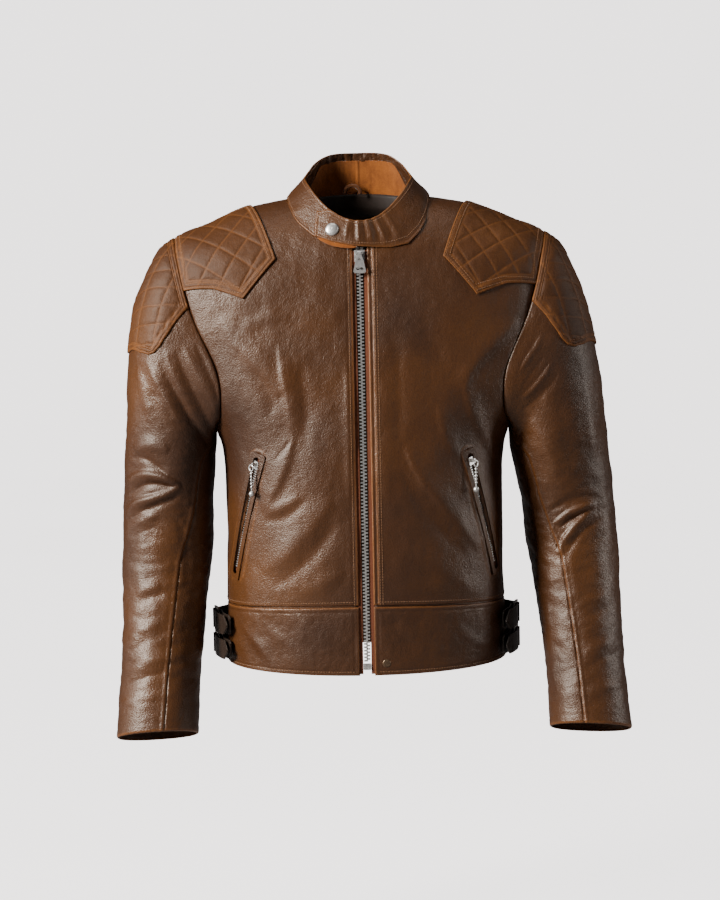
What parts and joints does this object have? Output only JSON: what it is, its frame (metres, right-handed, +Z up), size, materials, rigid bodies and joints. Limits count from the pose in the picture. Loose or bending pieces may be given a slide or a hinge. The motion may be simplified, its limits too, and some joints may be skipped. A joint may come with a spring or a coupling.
{
  "type": "leather riding jacket",
  "caption": "Hip-length leather riding jacket with stand collar and snap tab, front zip, quilted shoulder and sleeve patches, slanted zip pockets and strap adjusters at the waist.",
  "frame": {"origin": "middle of the neck opening at shoulder level, where the jacket rests on a hanger or on the wearer", "axes": "+Z up, front faces -Y, +X to the wearer's left"},
  "size_m": [0.6366, 0.2395, 0.7288],
  "materials": {
    "brown_leather": "satin",
    "quilted_leather": "satin",
    "dark_leather": "satin",
    "suede": "matte",
    "lining_cloth": "satin",
    "zip_tape": "matte",
    "silver_metal": "polished",
    "antique_brass": "satin"
  },
  "bodies": {
    "root": {"back_panel": "brown_leather", "front_panel_left": "brown_leather", "front_panel_right": "brown_leather", "shoulder_patch_left": "quilted_leather", "shoulder_patch_right": "quilted_leather", "waistband_front_left": "brown_leather", "waistband_front_right": "brown_leather", "waistband_back": "brown_leather", "collar_outer": "brown_leather", "collar_lining": "suede", "collar_top_facing": "dark_leather", "back_neck_facing": "dark_leather", "hanger_loop": "suede", "front_facing_left": "dark_leather", "front_facing_right": "dark_leather", "zip_tape_left": "zip_tape", "zip_tape_right": "zip_tape", "zip_teeth_left": "silver_metal", "zip_teeth_right": "silver_metal", "zip_end_box": "silver_metal", "zip_top_stops": "silver_metal", "hem_snap": "antique_brass", "collar_snap_stud": "silver_metal", "pocket_welt_left": "brown_leather", "pocket_welt_right": "brown_leather", "pocket_zip_tape_left": "zip_tape", "pocket_zip_tape_right": "zip_tape", "pocket_zip_teeth_left": "silver_metal", "pocket_zip_teeth_right": "silver_metal", "pocket_bag_left": "lining_cloth", "pocket_bag_right": "lining_cloth", "side_straps_left": "dark_leather", "side_straps_right": "dark_leather", "buckle_tabs_left": "dark_leather", "buckle_tabs_right": "dark_leather"},
    "main_slider_body": {"main_slider": "silver_metal"},
    "main_pull_body": {"main_pull": "silver_metal"},
    "pocket_slider_left_body": {"pocket_slider_left": "silver_metal"},
    "pocket_slider_right_body": {"pocket_slider_right": "silver_metal"},
    "pocket_pull_left_body": {"pocket_pull_left": "silver_metal"},
    "pocket_pull_right_body": {"pocket_pull_right": "silver_metal"},
    "collar_tab_body": {"collar_tab": "brown_leather", "collar_snap_cap": "silver_metal"},
    "sleeve_left_body": {"sleeve_upper_left": "brown_leather", "sleeve_under_left": "brown_leather", "sleeve_patch_left": "quilted_leather"},
    "sleeve_right_body": {"sleeve_upper_right": "brown_leather", "sleeve_under_right": "brown_leather", "sleeve_patch_right": "quilted_leather"},
    "buckle_frame_upper_left_body": {"buckle_frame_upper_left": "silver_metal"},
    "buckle_frame_upper_right_body": {"buckle_frame_upper_right": "silver_metal"},
    "buckle_frame_lower_left_body": {"buckle_frame_lower_left": "silver_metal"},
    "buckle_frame_lower_right_body": {"buckle_frame_lower_right": "silver_metal"}
  },
  "joints": [
    {"name": "main_slider_travel", "type": "hinge", "parent": "root", "child": "main_slider_body", "pos_m": [0, 1.55319, -0.43941], "axis": [1, 0, 0], "range_deg": [0, 16.51]},
    {"name": "main_pull_swing", "type": "hinge", "parent": "main_slider_body", "child": "main_pull_body", "pos_m": [0, -0.08526, -0.06679], "axis": [-1, 0, 0], "range_deg": [0, 150]},
    {"name": "pocket_slider_left_travel", "type": "slide", "parent": "root", "child": "pocket_slider_left_body", "axis": [0.2127, 0.2256, -0.9507], "range_m": [0, 0.1324]},
    {"name": "pocket_pull_left_swing", "type": "hinge", "parent": "pocket_slider_left_body", "child": "pocket_pull_left_body", "pos_m": [0.13641, -0.09508, -0.32069], "axis": [-0.6934, -0.7206, 0], "range_deg": [0, 100]},
    {"name": "pocket_slider_right_travel", "type": "slide", "parent": "root", "child": "pocket_slider_right_body", "axis": [-0.2127, 0.2256, -0.9507], "range_m": [0, 0.1324]},
    {"name": "pocket_pull_right_swing", "type": "hinge", "parent": "pocket_slider_right_body", "child": "pocket_pull_right_body", "pos_m": [-0.13641, -0.09508, -0.32069], "axis": [-0.6934, 0.7206, 0], "range_deg": [0, 100]},
    {"name": "collar_tab_lift", "type": "hinge", "parent": "root", "child": "collar_tab_body", "pos_m": [0.004, -0.07856, -0.042], "axis": [0, 0, 1], "range_deg": [0, 60]},
    {"name": "buckle_frame_upper_left_rock", "type": "hinge", "parent": "root", "child": "buckle_frame_upper_left_body", "pos_m": [0.19, 0.006, -0.524], "axis": [0, 0, 1], "range_deg": [-5, 5]},
    {"name": "buckle_frame_upper_right_rock", "type": "hinge", "parent": "root", "child": "buckle_frame_upper_right_body", "pos_m": [-0.19, 0.006, -0.524], "axis": [0, 0, -1], "range_deg": [-5, 5]},
    {"name": "buckle_frame_lower_left_rock", "type": "hinge", "parent": "root", "child": "buckle_frame_lower_left_body", "pos_m": [0.19, 0.006, -0.555], "axis": [0, 0, 1], "range_deg": [-5, 5]},
    {"name": "buckle_frame_lower_right_rock", "type": "hinge", "parent": "root", "child": "buckle_frame_lower_right_body", "pos_m": [-0.19, 0.006, -0.555], "axis": [0, 0, -1], "range_deg": [-5, 5]},
    {"name": "sleeve_left_swing", "type": "hinge", "parent": "root", "child": "sleeve_left_body", "pos_m": [0.2055, 0.002, -0.1675], "axis": [-0.9822, 0, 0.1881], "range_deg": [-15, 35], "stiffness_Nm_per_rad": 3},
    {"name": "sleeve_right_swing", "type": "hinge", "parent": "root", "child": "sleeve_right_body", "pos_m": [-0.2055, 0.002, -0.1675], "axis": [-0.9822, 0, -0.1881], "range_deg": [-15, 35], "stiffness_Nm_per_rad": 3}
  ]
}
